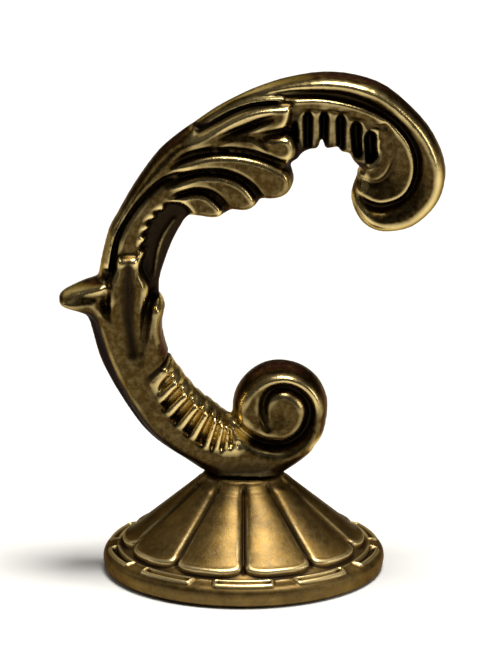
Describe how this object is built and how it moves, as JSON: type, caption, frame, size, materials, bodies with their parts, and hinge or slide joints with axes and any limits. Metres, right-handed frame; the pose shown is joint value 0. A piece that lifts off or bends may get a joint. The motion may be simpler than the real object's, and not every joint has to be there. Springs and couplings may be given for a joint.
{
  "type": "curtain holdback hook",
  "caption": "C-shaped acanthus scroll arm in antique brass on a fluted round rosette; screws onto a hidden wall plate and holds a drawn curtain aside.",
  "frame": {"origin": "on the stud's axis, in the plane of the wall, which the rosette's rim and the wall plate's back touch", "axes": "+Z out of the wall along the stud; +X the way the C opens; Y across the arm, which is the same on both sides"},
  "size_m": [0.051, 0.038, 0.0685],
  "materials": {
    "antique_brass_arm": "antique, dark patina in the recesses, rubbed bright on the ridges",
    "antique_brass_rosette": "antique, a little lighter than the arm, rubbed bright on petals and rim frames",
    "spring_steel_dark": "oil-blackened spring steel",
    "nylon_natural": "natural nylon",
    "zinc_plated_steel": "zinc-plated pressing",
    "bright_steel": "bright steel screw",
    "zinc_plated_nut": "zinc-plated",
    "spring_steel_split": "bare spring steel"
  },
  "bodies": {
    "wall_mount": {"wall_plate": "zinc_plated_steel", "centre_stud": "bright_steel", "lock_washer": "spring_steel_split", "stud_nut": "zinc_plated_nut"},
    "washer": {"friction_washer": "nylon_natural"},
    "hook": {"scroll_arm": "antique_brass_arm", "rosette": "antique_brass_rosette", "push_washer": "spring_steel_dark"}
  },
  "joints": [
    {"name": "hook_rise", "type": "slide", "parent": "wall_mount", "child": "washer", "axis": [0, 0, 1], "range_m": [0, 0.0081]},
    {"name": "hook_turn", "type": "hinge", "parent": "washer", "child": "hook", "pos_m": [0, 0, 0], "axis": [0, 0, 1], "range_deg": [0, 4140]}
  ],
  "couplings": [
    {"joint": "hook_rise", "follows": "hook_turn", "m_per_rad": 0.00011141}
  ]
}
